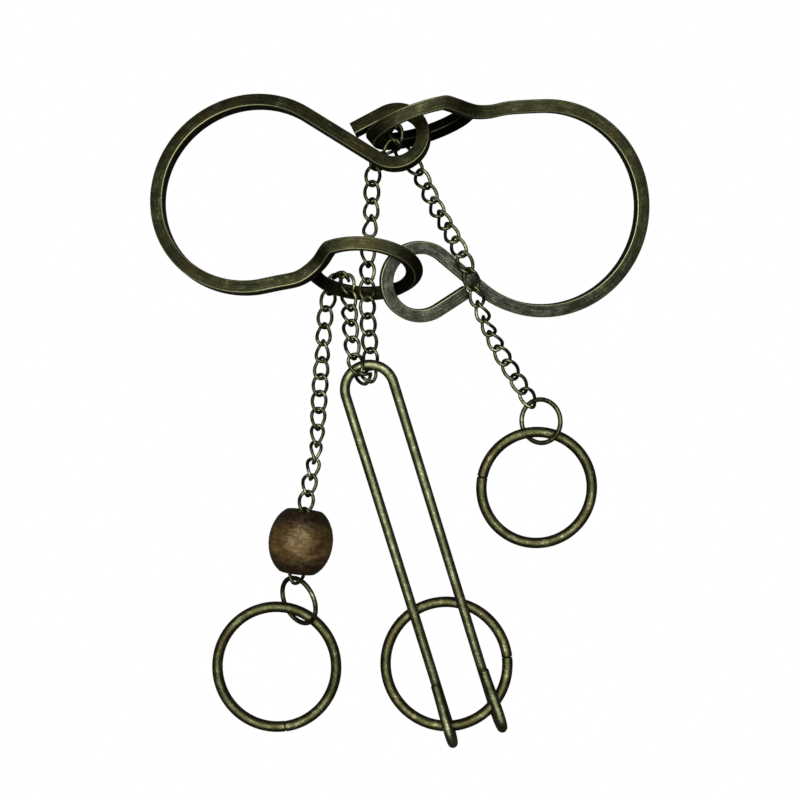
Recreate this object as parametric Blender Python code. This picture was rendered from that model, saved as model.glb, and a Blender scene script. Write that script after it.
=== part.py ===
"""Metal disentanglement puzzle: two linked square-bar frames, a curb chain threaded through both,
a long wire shuttle, rings and a wooden bead, lying on a table.

Lengths are in millimetres here and become metres in the meshes. X runs across the table, Y up the
table towards the frames, Z up from the table.
"""

import math

import bmesh
import bpy
from mathutils import Matrix, Vector

MM = 0.001
DEG = math.pi / 180

# Where the middle of the object's footprint lies, and the height of its lowest point.
FOOT = Vector((-0.05, -5.875, 0.0))

# Square bar of both frames.
BAR = 3.8
BAR_BEVEL = 0.35

# Left frame: the open loop, its flat eye and how far round it closes, the slope of the plane both lie in, the crosswise eye
# (its middle, half length, heading, the way from its middle to its raised strand, and the angle
# round it where the bar joins), and the neck by which the bar climbs from the loop.
LEFT_LOOP = Vector((-42.7, 59.1))
LEFT_LOOP_R = 27.9
LEFT_EYE = Vector((-1.14, 74.3))
LEFT_EYE_R = 7.95
LEFT_CLOSING = 243.0
LEFT_SLOPE = (0.17, -0.18)
LEFT_LIFT = 13.6
LEFT_CROSS = Vector((-10.5, 37.05, 13.95))
LEFT_CROSS_LONG = 14.6
LEFT_CROSS_AXIS = -2.5
LEFT_CROSS_RISE = Vector((0.0, 6.2, 7.75))
LEFT_CROSS_FROM = 128.0
LEFT_NECK = [
    Vector((-34.5, 32.9, 15.4)),
    Vector((-29.0, 34.0, 16.0)),
    Vector((-25.5, 35.9, 16.6)),
    Vector((-22.4, 38.7, 17.5)),
]

# Right frame: the same bar bent a little wider, turned half round.
RIGHT_LOOP = Vector((41.5, 54.6))
RIGHT_LOOP_R = 29.0
RIGHT_EYE = Vector((5.7, 33.7))
RIGHT_EYE_R = 9.7
RIGHT_CLOSING = 254.0
RIGHT_SLOPE = (-0.157, 0.156)
RIGHT_LIFT = 11.25
RIGHT_CROSS = Vector((6.4, 78.5, 14.7))
RIGHT_CROSS_LONG = 14.2
RIGHT_CROSS_AXIS = 17.0
RIGHT_CROSS_RISE = Vector((0.0, 1.95, 8.5))
RIGHT_CROSS_FROM = 115.0
RIGHT_NECK = [
    Vector((31.1, 82.4, 14.8)),
    Vector((25.4, 81.1, 15.7)),
    Vector((21.1, 80.7, 17.1)),
    Vector((18.1, 81.0, 18.9)),
    Vector((15.3, 81.5, 20.9)),
]

CLOSING_LENGTH = 9.6
LOOP_SWEEP = 220.0

# Chain: curb links of round wire, each twisted a quarter turn from end to end.
LINK_WIRE = 1.0
LINK_WIDE = 5.0
LINK_PITCH = 4.965
LINK_PLAY = 0.2
LOCKED = -0.16
LINK_TWIST = -45.0

# Shuttle: a long U of round wire, each leg bent back over itself into a narrow eye.
SHUTTLE_WIRE = 3.0
SHUTTLE_BEND = Vector((-8.6, 3.0, 12.5))
SHUTTLE_BEND_R = 7.05
SHUTTLE_LEAN = 17.15
SHUTTLE_DROP = 6.1
SHUTTLE_LEG = 104.6
SHUTTLE_EYE_R = 4.2
SHUTTLE_EYE_BACK = 17.4
SHUTTLE_EYE_ROLL = (-2.0, 6.0)

# Large rings: wire, and each one's middle, radii to the wire's middle, tilt, where it is cut, and
# the angle at which a jump ring holds it. The shuttle's ring runs through both eyes instead.
RING_WIRE = 3.2
RING_GAP = 0.45
RING_STEP = 0.1
RINGS = {
    "ring_left": {"at": Vector((-35.9, -77.8, 3.2)), "r": (17.3, 17.8), "tilt": (4.2, 0.0), "cut": -82.0,
                  "held": 71.0},
    "ring_shuttle": {"at": Vector((13.5, -76.6, 4.03)), "r": (17.7, 17.7), "tilt": (-7.5, -1.4), "cut": 6.0},
    "ring_right": {"at": Vector((39.8, -25.55, 3.2)), "r": (16.1, 16.3), "tilt": (4.2, 0.0), "cut": 169.0,
                   "held": 87.0},
}

# Jump rings, and the angle at which the chain's last link holds each.
JUMP_WIRE = 1.4
JUMPS = {
    "jump_ring_left": {"at": Vector((-29.2, -57.9, 6.6)), "r": 6.9, "tilt": (20.0, -42.0), "held": 96.0},
    "jump_ring_right": {"at": Vector((40.87, -6.15, 4.68)), "r": 6.3, "tilt": (2.0, -34.0), "held": 120.0},
}

# Wooden bead.
BEAD_D = 18.6
BEAD_LONG = 17.8
BEAD_FLAT = 10.4
BEAD_BORE = 5.9
BEAD_AT = Vector((-28.4, -40.5, 9.35))
BEAD_AXIS = Vector((0.126, 0.992, 0.0))

BRONZE = (0.105, 0.095, 0.055, 1.0)
WOOD = (0.14, 0.06, 0.03, 1.0)


def clear_scene():
    for obj in list(bpy.data.objects):
        bpy.data.objects.remove(obj, do_unlink=True)


def material(name, colour, metallic, roughness):
    found = bpy.data.materials.get(name)
    if found:
        return found
    made = bpy.data.materials.new(name)
    made.use_nodes = True
    shader = made.node_tree.nodes["Principled BSDF"]
    shader.inputs["Base Color"].default_value = colour
    shader.inputs["Metallic"].default_value = metallic
    shader.inputs["Roughness"].default_value = roughness
    return made


def bronze():
    return material("antique_bronze", BRONZE, 1.0, 0.42)


def add_object(name, verts, faces, surface, place=None):
    """A mesh object whose own frame is place; verts are in the table's frame, in millimetres."""
    place = place or Matrix.Identity(4)
    home = Matrix.Translation(-FOOT) @ place
    inverse = home.inverted()
    mesh = bpy.data.meshes.new(name)
    local = [(inverse @ (v - FOOT)) * MM for v in verts]
    mesh.from_pydata([tuple(v) for v in local], [], faces)
    mesh.materials.append(surface)
    obj = bpy.data.objects.new(name, mesh)
    bpy.context.scene.collection.objects.link(obj)
    turn = home.to_3x3().to_4x4()
    obj.matrix_world = Matrix.Translation(home.translation * MM) @ turn
    face_out(obj)
    return obj


def face_out(obj):
    work = bmesh.new()
    work.from_mesh(obj.data)
    bmesh.ops.recalc_face_normals(work, faces=work.faces)
    if work.calc_volume(signed=True) < 0:
        bmesh.ops.reverse_faces(work, faces=work.faces)
    work.to_mesh(obj.data)
    work.free()


def round_section(diameter, sides):
    """A polygon with the area of the round wire."""
    reach = diameter / 2 * math.sqrt(2 * math.pi / sides / math.sin(2 * math.pi / sides))
    turns = [2 * math.pi * (i + 0.5) / sides for i in range(sides)]
    return [(reach * math.cos(a), reach * math.sin(a)) for a in turns]


def square_section(side, bevel):
    h, k = side / 2, side / 2 - bevel
    return [(h, -k), (h, k), (k, h), (-k, h), (-h, k), (-h, -k), (-k, -h), (k, -h)]


def sweep(centres, ups, section, closed):
    """Vertices and faces of a section carried along centres, its second axis leaning to ups."""
    n, m = len(centres), len(section)
    verts = []
    for i in range(n):
        ahead = centres[(i + 1) % n] if closed else centres[min(i + 1, n - 1)]
        behind = centres[i - 1] if closed else centres[max(i - 1, 0)]
        along = (ahead - behind).normalized()
        side = along.cross(ups[i]).normalized()
        lift = side.cross(along)
        verts += [centres[i] + side * u + lift * v for u, v in section]
    faces = []
    for i in range(n if closed else n - 1):
        a, b = i * m, (i + 1) % n * m
        for j in range(m):
            k = (j + 1) % m
            faces.append((a + j, a + k, b + k, b + j))
    if not closed:
        faces.append(tuple(range(m))[::-1])
        faces.append(tuple((n - 1) * m + j for j in range(m)))
    return verts, faces


def carried(centres, start, up):
    """Up vectors carried along centres without twist, from the given one at index start."""
    n = len(centres)
    along = []
    for i in range(n):
        along.append((centres[min(i + 1, n - 1)] - centres[max(i - 1, 0)]).normalized())
    ups = [None] * n
    ups[start] = (up - along[start] * up.dot(along[start])).normalized()
    for step in (1, -1):
        i = start + step
        while 0 <= i < n:
            turn = along[i - step].rotation_difference(along[i])
            ups[i] = turn @ ups[i - step]
            i += step
    return ups


def arc(centre, radius, start, end, steps):
    """Points on a circle in the XY plane, angles in degrees."""
    points = []
    for i in range(steps + 1):
        a = (start + (end - start) * i / steps) * DEG
        points.append(centre + radius * Vector((math.cos(a), math.sin(a))))
    return points


def frame_path(loop, loop_r, eye, eye_r, closing, slope, lift, neck, cross):
    """Middle line of a frame's bar, from the flat eye's cut end to the crosswise eye's cut end,
    and the index of a point half way round the loop."""
    steep, away = Vector(slope).normalized(), loop - eye
    loop = loop + steep * away.dot(steep) * (math.hypot(1.0, *slope) - 1)
    reach = eye - loop
    base = math.atan2(reach.y, reach.x) / DEG
    open_by = math.acos((loop_r + eye_r) / reach.length) / DEG
    leave = base + open_by
    arrive = leave + 180
    flat = arc(eye, eye_r, arrive + closing, arrive, 18)
    inward = (flat[0] - flat[1]).normalized()
    cut = flat[0] + inward * CLOSING_LENGTH
    flat = [cut, (cut + flat[0]) / 2] + flat
    main = arc(loop, loop_r, leave, leave + LOOP_SWEEP, 30)
    middle = [flat[-1].lerp(main[0], t) for t in (0.25, 0.5, 0.75)]
    plane = [on_plane(p, eye, slope, lift) for p in flat + middle + main]

    centre, half_long, axis, rise, start = cross
    long_way = Vector((math.cos(axis * DEG), math.sin(axis * DEG), 0.0)) * half_long
    turned = []
    for i in range(25):
        a = (start - (start + 164) * i / 24) * DEG
        turned.append(centre + long_way * math.cos(a) + rise * math.sin(a))
    climb = smooth_line([plane[-2], plane[-1]] + neck + turned[:2], 3)[4:-4]
    return plane + climb + turned, len(flat) + len(middle) + 15


def on_plane(point, origin, slope, lift):
    """A point of the flat pattern laid on a plane of this slope, which passes lift above origin."""
    away = point - origin
    steep = Vector(slope).normalized()
    along = away.dot(steep)
    away -= steep * along * (1 - 1 / math.hypot(1.0, *slope))
    return Vector((origin.x + away.x, origin.y + away.y, lift + away.dot(Vector(slope))))


def make_frame(*shape):
    slope = shape[5]
    path, middle = frame_path(*shape)
    ups = carried(path, middle, Vector((-slope[0], -slope[1], 1.0)))
    verts, faces = sweep(path, ups, square_section(BAR, BAR_BEVEL), False)
    return verts, faces


def left_frame():
    cross = (LEFT_CROSS, LEFT_CROSS_LONG, LEFT_CROSS_AXIS, LEFT_CROSS_RISE, LEFT_CROSS_FROM)
    shape = (LEFT_LOOP, LEFT_LOOP_R, LEFT_EYE, LEFT_EYE_R, LEFT_CLOSING, LEFT_SLOPE, LEFT_LIFT)
    verts, faces = make_frame(*shape, LEFT_NECK, cross)
    add_object("left_frame", verts, faces, bronze())


def right_frame():
    """Its own frame stands on the line through both crossings, with Y along that line."""
    cross = (RIGHT_CROSS, -RIGHT_CROSS_LONG, RIGHT_CROSS_AXIS, RIGHT_CROSS_RISE, RIGHT_CROSS_FROM)
    shape = (RIGHT_LOOP, RIGHT_LOOP_R, RIGHT_EYE, RIGHT_EYE_R, RIGHT_CLOSING, RIGHT_SLOPE, RIGHT_LIFT)
    verts, faces = make_frame(*shape, RIGHT_NECK, cross)
    add_object("right_frame", verts, faces, bronze(), hinge_place())


def hinge_place():
    """The line about which the right frame swings, from the lower crossing to the upper one."""
    low, high = Vector((1.5, 38.0, 12.0)), Vector((-3.0, 76.0, 13.5))
    y = (high - low).normalized()
    z = (Vector((0, 0, 1)) - y * y.z).normalized()
    x = y.cross(z)
    place = Matrix((x, y, z)).transposed().to_4x4()
    place.translation = (low + high) / 2
    return place


def link_shape(back, front, stations, sides):
    """One link about its own middle: chain along X, face towards Z. back and front are the play
    at its two ends."""
    wide = (LINK_WIDE - LINK_WIRE) / 2
    centres, ups = [], []
    for i in range(stations):
        a = 2 * math.pi * (i + 0.5) / stations
        c, s = math.cos(a), math.sin(a)
        half = (LINK_PITCH + LINK_WIRE + (front if c > 0 else back)) / 2
        x = math.copysign(abs(c) ** 0.85, c) * half
        y = math.copysign(abs(s) ** 0.8, s) * wide
        twist = LINK_TWIST * DEG * x / half
        centres.append(Vector((x, y * math.cos(twist), y * math.sin(twist))))
        ups.append(Vector((0.0, -math.sin(twist), math.cos(twist))))
    return sweep(centres, ups, round_section(LINK_WIRE, sides), True)


def place_at(start, end, normal):
    """A frame with X from start to end and Z near normal, standing on start."""
    x = (end - start).normalized()
    z = (normal - x * normal.dot(x)).normalized()
    y = z.cross(x)
    place = Matrix((x, y, z)).transposed().to_4x4()
    place.translation = start
    return place


def smooth_line(points, steps):
    """A smooth line through the points, as many short pieces."""
    ends = [points[0] * 2 - points[1]] + points + [points[-1] * 2 - points[-2]]
    line = [points[0]]
    for i in range(1, len(ends) - 2):
        p0, p1, p2, p3 = ends[i - 1 : i + 3]
        for k in range(1, steps + 1):
            t = k / steps
            a = 2 * p1 + (p2 - p0) * t + (2 * p0 - 5 * p1 + 4 * p2 - p3) * t * t
            line.append((a + (3 * p1 - p0 - 3 * p2 + p3) * t**3) / 2)
    return line


def pivots(points, count):
    """Pivot points one pitch apart along a smooth line, the first on its start."""
    line = smooth_line(points, 40)
    found = [line[0]]
    i = 0
    while len(found) <= count and i < len(line) - 1:
        if (line[i + 1] - found[-1]).length >= LINK_PITCH:
            a, b = line[i], line[i + 1]
            lo, hi = 0.0, 1.0
            for _ in range(30):
                mid = (lo + hi) / 2
                if (a.lerp(b, mid) - found[-1]).length < LINK_PITCH:
                    lo = mid
                else:
                    hi = mid
            found.append(a.lerp(b, hi))
            continue
        i += 1
    while len(found) <= count:
        found.append(found[-1] + (found[-1] - found[-2]).normalized() * LINK_PITCH)
    return found


def rolled(place, degrees):
    return place @ Matrix.Rotation(degrees * DEG, 4, "X")


def strand(prefix, points, count, normal, rolls):
    """Single links along a line. rolls turn each link's face about the line."""
    at = pivots(points, count)
    shape = link_shape(LINK_PLAY, LINK_PLAY, 14, 6)
    for i in range(count):
        place = place_at(at[i], at[i + 1], normal)
        normal = place.to_3x3() @ Vector((0, 0, 1))
        place = rolled(place, rolls.get(i + 1, 0.0))
        out = place @ Matrix.Translation((LINK_PITCH / 2, 0, 0))
        add_object(f"{prefix}_{i + 1:02d}", [out @ v for v in shape[0]], shape[1], bronze(), place)
    return at, normal


def fused(name, at, normals, home=None):
    """Links locked together as one body: a bight that hugs a bar, or the run inside a bore. home is
    its own frame, or else it stands on its first point."""
    home = home or place_at(at[0], at[1], normals[0])
    pieces = []
    last = len(at) - 2
    for i in range(last + 1):
        shape = link_shape(LINK_PLAY if i == 0 else LOCKED, LINK_PLAY if i == last else LOCKED, 14, 6)
        pitch = (at[i + 1] - at[i]).length
        place = place_at(at[i], at[i + 1], normals[i])
        out = place @ Matrix.Translation((pitch / 2, 0, 0)) @ Matrix.Diagonal((pitch / LINK_PITCH, 1, 1, 1))
        piece = add_object(f"{name}_{i}", [out @ v for v in shape[0]], shape[1], bronze(), home)
        pieces.append(piece)
    first = pieces[0]
    for other in pieces[1:]:
        add = first.modifiers.new(other.name, "BOOLEAN")
        add.operation, add.solver, add.object = "UNION", "EXACT", other
    bpy.context.view_layer.update()
    graph = bpy.context.evaluated_depsgraph_get()
    whole = bpy.data.meshes.new_from_object(first.evaluated_get(graph))
    first.modifiers.clear()
    first.data = whole
    first.name = name
    whole.name = name
    for other in pieces[1:]:
        bpy.data.objects.remove(other, do_unlink=True)
    face_out(first)


def shuttle_frame():
    lean, drop = SHUTTLE_LEAN * DEG, SHUTTLE_DROP * DEG
    down = Vector((math.sin(lean) * math.cos(drop), -math.cos(lean) * math.cos(drop), -math.sin(drop)))
    across = Vector((math.cos(lean), math.sin(lean), 0.0))
    return down, across, down.cross(across)


def shuttle():
    down, across, over = shuttle_frame()
    half = []
    for side, roll in zip((-1, 1), SHUTTLE_EYE_ROLL):
        up = over * math.cos(roll * DEG) + across * math.sin(roll * DEG)
        root = SHUTTLE_BEND + across * (side * SHUTTLE_BEND_R)
        turn = SHUTTLE_LEG - SHUTTLE_EYE_R
        back = SHUTTLE_LEG - SHUTTLE_EYE_BACK
        top = 2 * SHUTTLE_EYE_R
        touch = SHUTTLE_WIRE + 0.14
        points = [root + down * (turn * t) for t in (0.0, 0.2, 0.4, 0.6, 0.8, 0.9)]
        for i in range(9):
            a = (-90 + 180 * i / 8) * DEG
            points.append(root + down * (turn + SHUTTLE_EYE_R * math.cos(a)) + up * SHUTTLE_EYE_R * (1 + math.sin(a)))
        for i in range(1, 8):
            t = i / 7
            ease = t * t * (3 - 2 * t)
            points.append(root + down * (turn + (back - turn) * t) + up * (top + (touch - top) * ease))
        half.append(points)
    bend = []
    for i in range(1, 14):
        a = (180 - 180 * i / 14) * DEG
        bend.append(SHUTTLE_BEND + across * (SHUTTLE_BEND_R * math.cos(a)) - down * (SHUTTLE_BEND_R * math.sin(a)))
    path = half[0][::-1] + bend + half[1]
    ups = carried(path, len(path) // 2, over)
    verts, faces = sweep(path, ups, round_section(SHUTTLE_WIRE, 10), False)
    place = Matrix((across, -down, over)).transposed().to_4x4()
    place.translation = SHUTTLE_BEND - down * SHUTTLE_BEND_R
    add_object("shuttle", verts, faces, bronze(), place)


def ring_place(at, tilt):
    place = Matrix.Rotation(tilt[0] * DEG, 4, "X") @ Matrix.Rotation(tilt[1] * DEG, 4, "Y")
    place.translation = at
    return place


def held_place(place, radii, held):
    """The frame a ring swings in, on its wire where something holds it, with X along the wire."""
    spot = Vector((radii[0] * math.cos(held * DEG), radii[1] * math.sin(held * DEG), 0.0))
    return place @ Matrix.Translation(spot) @ Matrix.Rotation((held - 90) * DEG, 4, "Z")


def large_ring(name):
    """A ring of round wire whose two cut ends nearly meet, one a little above the other."""
    lie = RINGS[name]
    place = ring_place(lie["at"], lie["tilt"])
    steps, gap = 40, RING_GAP / lie["r"][0]
    path = []
    for i in range(steps + 1):
        a = lie["cut"] * DEG + gap / 2 + (2 * math.pi - gap) * i / steps
        step = RING_STEP * math.cos(math.pi * i / steps) ** 9
        path.append(place @ Vector((lie["r"][0] * math.cos(a), lie["r"][1] * math.sin(a), step)))
    up = place.to_3x3() @ Vector((0, 0, 1))
    verts, faces = sweep(path, [up] * len(path), round_section(RING_WIRE, 10), False)
    return verts, faces, place


def large_rings():
    for name in RINGS:
        verts, faces, place = large_ring(name)
        held = RINGS[name].get("held")
        home = place if held is None else held_place(place, RINGS[name]["r"], held)
        add_object(name, verts, faces, bronze(), home)


def jump_rings():
    for name, lie in JUMPS.items():
        place = ring_place(lie["at"], lie["tilt"])
        steps = 24
        path = []
        for i in range(steps):
            a = 2 * math.pi * i / steps
            path.append(place @ Vector((lie["r"] * math.cos(a), lie["r"] * math.sin(a), 0.0)))
        up = place.to_3x3() @ Vector((0, 0, 1))
        verts, faces = sweep(path, [up] * steps, round_section(JUMP_WIRE, 8), True)
        home = held_place(place, (lie["r"], lie["r"]), lie["held"])
        add_object(name, verts, faces, bronze(), home)


def bead_place():
    y = BEAD_AXIS.normalized()
    z = Vector((0, 0, 1))
    place = Matrix((y.cross(z), y, z)).transposed().to_4x4()
    place.translation = BEAD_AT
    return place


def bead():
    """A barrel-shaped bead with flat ends and a straight bore, turned about its own Y."""
    place = bead_place()
    half, end_r, bore = BEAD_LONG / 2, BEAD_FLAT / 2, BEAD_BORE / 2
    profile = [(bore, -half + 0.5), (bore + 0.5, -half)]
    edge = math.asin(half / (BEAD_D / 2) * 0.93)
    for i in range(11):
        a = -edge + 2 * edge * i / 10
        grow = math.cos(a) / math.cos(0)
        low = math.cos(edge)
        r = end_r + (BEAD_D / 2 - end_r) * (grow - low) / (1 - low)
        profile.append((r, half * math.sin(a) / math.sin(edge)))
    profile += [(bore + 0.5, half), (bore, half - 0.5)]
    turns, n = 28, len(profile)
    verts, faces = [], []
    for i in range(turns):
        a = 2 * math.pi * i / turns
        for r, y in profile:
            verts.append(place @ Vector((r * math.cos(a), y, r * math.sin(a))))
    for i in range(turns):
        j = (i + 1) % turns
        for k in range(n):
            m = (k + 1) % n
            faces.append((i * n + k, i * n + m, j * n + m, j * n + k))
    add_object("bead", verts, faces, material("stained_wood", WOOD, 0.0, 0.35), place)


def beside(bar, along, offsets):
    """Points about a bar, each given by its distance along it, up the table and off the table."""
    t = along.normalized()
    v = (Vector((0, 1, 0)) - t * t.y).normalized()
    w = t.cross(v)
    return [bar + t * a + v * b + w * c for a, b, c in offsets]


def facing(bar, along, at):
    """The way each link between two of the points faces: straight away from the bar."""
    t = along.normalized()
    found = []
    for a, b in zip(at, at[1:]):
        away = (a + b) / 2 - bar
        found.append((away - t * away.dot(t)).normalized())
    return found


def crossing(centre, half_long, axis, rise, x):
    """Where the lower strand of a crosswise eye passes x, and its heading there."""
    reach = half_long * math.cos(axis * DEG)
    t = (x - centre.x) / reach
    drop = math.sqrt(1 - t * t)
    turn = t / (drop * reach)
    slant = math.tan(axis * DEG)
    at = Vector((x, centre.y + (x - centre.x) * slant - rise.y * drop, centre.z - rise.z * drop))
    return at, Vector((1.0, slant + rise.y * turn, rise.z * turn))


def rolled_up(degrees):
    return Vector((-math.sin(degrees * DEG), 0.0, math.cos(degrees * DEG)))


def chain():
    up = Vector((0, 0, 1))
    # Round the lower strand of the left frame's crosswise eye.
    bar, along = crossing(LEFT_CROSS, LEFT_CROSS_LONG, LEFT_CROSS_AXIS, LEFT_CROSS_RISE, -17.7)
    low = beside(bar, along, [(2.2, -1.0, 4.4), (0.7, 3.75, 2.5), (-0.8, 3.75, -2.5), (-1.3, -1.0, -4.35)])
    faces = facing(bar, along, low)
    fused("bight_low", low, faces, place_at(bar, bar + along, up))
    # Down to the bead, and through its bore.
    axis = BEAD_AXIS.normalized()
    enter, leave = BEAD_AT + axis * (BEAD_LONG / 2 - 0.3), BEAD_AT - axis * (BEAD_LONG / 2 + 2.7) - up * 0.6
    run = [low[-1], Vector((-21.7, 26.3, 2.45)), Vector((-22.6, 14.0, 2.6)), Vector((-23.5, 2.0, 2.4))]
    run += [Vector((-24.4, -14.0, 4.0)), Vector((-26.2, -24.5, 7.8)), enter]
    rolls = {2: 15.0, 3: 33.0, 4: 48.0, 5: 30.0, 6: 10.0, 8: -15.0, 9: -32.0, 10: -48.0, 11: -32.0, 12: -15.0}
    at, _ = strand("chain_l", run, 13, -faces[-1], rolls)
    core = [at[-1].lerp(leave, i / 4) for i in range(5)]
    fused("bead_chain_core", core, [rolled_up(a) for a in (0, 0, -2, -4)])
    # From the left frame's crosswise eye down to the shuttle, and round its bend.
    down, across, over = shuttle_frame()
    bar = SHUTTLE_BEND - down * SHUTTLE_BEND_R
    wrap = [(-1.6, 3.2, 4.2), (-1.3, -1.5, 4.1), (0.3, -4.35, 0.0), (2.0, -1.5, -3.8), (3.4, 3.2, -4.3)]
    bend = [bar + across * a - down * b + over * c for a, b, c in wrap]
    middle = low[0].lerp(bend[0], 0.5) + Vector((-0.2, 0.0, 1.6))
    at, face = strand("chain_i", [low[0], middle, bend[0]], 4, faces[0], {})
    bend[0] = at[-1]
    around = facing(bar, across, bend)
    fused("bight_shuttle", bend, [face] + around[1:])
    # Round the lower strand of the right frame's crosswise eye.
    bar, along = crossing(RIGHT_CROSS, RIGHT_CROSS_LONG, RIGHT_CROSS_AXIS, RIGHT_CROSS_RISE, -0.9)
    wrap = beside(bar, along, [(-2.1, -1.0, 4.5), (-1.0, 3.85, 2.55), (0.4, 3.85, -2.55), (1.8, -1.0, -4.4)])
    top = [Vector((-8.1, 62.4, 7.0)), Vector((-7.5, 66.9, 7.7)), Vector((-4.4, 70.1, 9.2))]
    top += wrap + [Vector((2.8, 70.2, 3.0))]
    faces = facing(bar, along, top[2:7])
    faces[0] = Vector((0.35, -0.8, 0.5))
    fused("bight_top", top, [up, up] + faces + [up], place_at(bar, bar + along, up))
    # The middle strand hangs in two halves, which part under the left frame's raised strand.
    strand("chain_m", [top[0], Vector((-8.3, 54.0, 6.8)), Vector((-9.0, 45.0, 8.4))], 3, up, {2: 18.0, 3: 36.0})
    run = [bend[-1], Vector((-9.2, 23.0, 9.6)), Vector((-9.4, 33.0, 11.0)), Vector((-9.2, 40.0, 9.8))]
    run += [Vector((-9.1, 46.0, 8.4))]
    strand("chain_n", run, 6, -around[-1], {5: 15.0, 6: 30.0})
    # Over the right frame's lower bar and down to the right ring.
    run = [top[-1], Vector((6.0, 65.2, 4.0)), Vector((10.7, 54.5, 8.0)), Vector((14.5, 47.2, 12.1))]
    run += [Vector((19.0, 37.4, 14.8)), Vector((22.8, 26.0, 12.0)), Vector((28.3, 15.0, 6.4))]
    run += [Vector((38.9, -1.8, 3.0))]
    rolls = {3: 12.0, 4: 27.0, 5: 36.0, 6: 28.0, 7: 14.0, 9: 12.0, 10: 32.0, 11: 45.0, 12: 50.0, 13: 32.0}
    rolls.update({14: 14.0, 16: -10.0, 17: -19.0})
    strand("chain_r", run, 17, up, rolls)


def main():
    clear_scene()
    left_frame()
    right_frame()
    chain()
    bead()
    jump_rings()
    large_rings()
    shuttle()


main()
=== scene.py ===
# %% [markdown]
# # A bronze disentanglement puzzle
#
# The puzzle lies flat on a table: two square-bar frames hooked through each other, one long curb
# chain threaded through both, a wire shuttle, three large rings and a wooden bead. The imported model
# already holds every piece at its right size and place, as plain faceted solids. This file gives
# each piece its finished surface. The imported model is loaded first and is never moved.

import math

import bmesh
import bpy
import numpy as np
from mathutils import Matrix, Vector, noise


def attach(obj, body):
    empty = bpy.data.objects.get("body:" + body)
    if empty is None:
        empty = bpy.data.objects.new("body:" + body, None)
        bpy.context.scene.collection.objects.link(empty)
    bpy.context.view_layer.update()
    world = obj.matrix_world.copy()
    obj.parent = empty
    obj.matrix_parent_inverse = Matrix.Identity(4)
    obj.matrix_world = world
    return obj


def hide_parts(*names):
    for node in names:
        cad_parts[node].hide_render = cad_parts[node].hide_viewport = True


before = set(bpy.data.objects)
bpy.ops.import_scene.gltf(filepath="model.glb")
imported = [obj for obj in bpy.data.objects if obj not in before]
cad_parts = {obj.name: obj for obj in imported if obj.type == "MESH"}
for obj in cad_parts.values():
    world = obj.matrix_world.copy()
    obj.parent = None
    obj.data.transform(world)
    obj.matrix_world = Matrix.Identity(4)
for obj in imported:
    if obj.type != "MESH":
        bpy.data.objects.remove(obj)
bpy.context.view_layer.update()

# %% [markdown]
# Every length below is in millimetres, as a maker would write it, and becomes metres at the last
# moment. The table's own middle is not the middle of the puzzle's footprint, so FOOT says where
# that lies, and it is taken away from every point.

# %% Units, colours and one helper for shader and geometry nodes
MM = 0.001
DEG = math.pi / 180
FOOT = Vector((-0.05, -5.875, 0.0))
UP = Vector((0.0, 0.0, 1.0))


def V(*numbers):
    """A point or a direction, from its numbers."""
    return Vector(numbers)


def linear(colour):
    """A linear RGBA from an sRGB hex colour, such as "#6b5d3a"."""
    parts = [int(colour[i : i + 2], 16) / 255 for i in (1, 3, 5)]
    return [c / 12.92 if c <= 0.04045 else ((c + 0.055) / 1.055) ** 2.4 for c in parts] + [1.0]


def add(tree, kind, links=(), values=(), stops=(), **settings):
    """A new node. settings are its own fields, values fill its inputs, and links feed them.
    stops are a colour ramp's, each (place, hex colour) or (place, grey level)."""
    node = tree.nodes.new(kind)
    for key, value in settings.items():
        setattr(node, key, value)
    for key, value in dict(values).items():
        node.inputs[key].default_value = value
    for key, source in dict(links).items():
        tree.links.new(source, node.inputs[key])
    if stops:
        points = node.color_ramp.elements
        while len(points) < len(stops):
            points.new(0.5)
        for point, (at, shade) in zip(points, stops):
            point.position = at
            point.color = linear(shade) if isinstance(shade, str) else (shade, shade, shade, 1.0)
    return node


# %% [markdown]
# ## Antiqued bronze
#
# The metal is steel wire and bar, plated with brass, blackened in a bath and then tumbled. Tumbling
# rubs the dark skin off whatever sticks out, so corners shine like brass and flats keep a mottled
# olive skin. Where a strand lies in shade, the colour is painted nearly black as painted shade. One
# recipe makes all of it; bar, wire and chain differ only in how much is rubbed bare and in how
# coarse the marks are. The marks run along the bar, so the pattern reads an attribute called run:
# the distance along the bar, and the place across it. Scales are per metre, so 320 is a pattern of
# about 3 mm.

# %% Antiqued bronze
def shader_tree(name):
    """A new material with its node tree and its Principled shader."""
    made = bpy.data.materials.new(name)
    made.use_nodes = True
    return made, made.node_tree, made.node_tree.nodes["Principled BSDF"]


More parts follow.
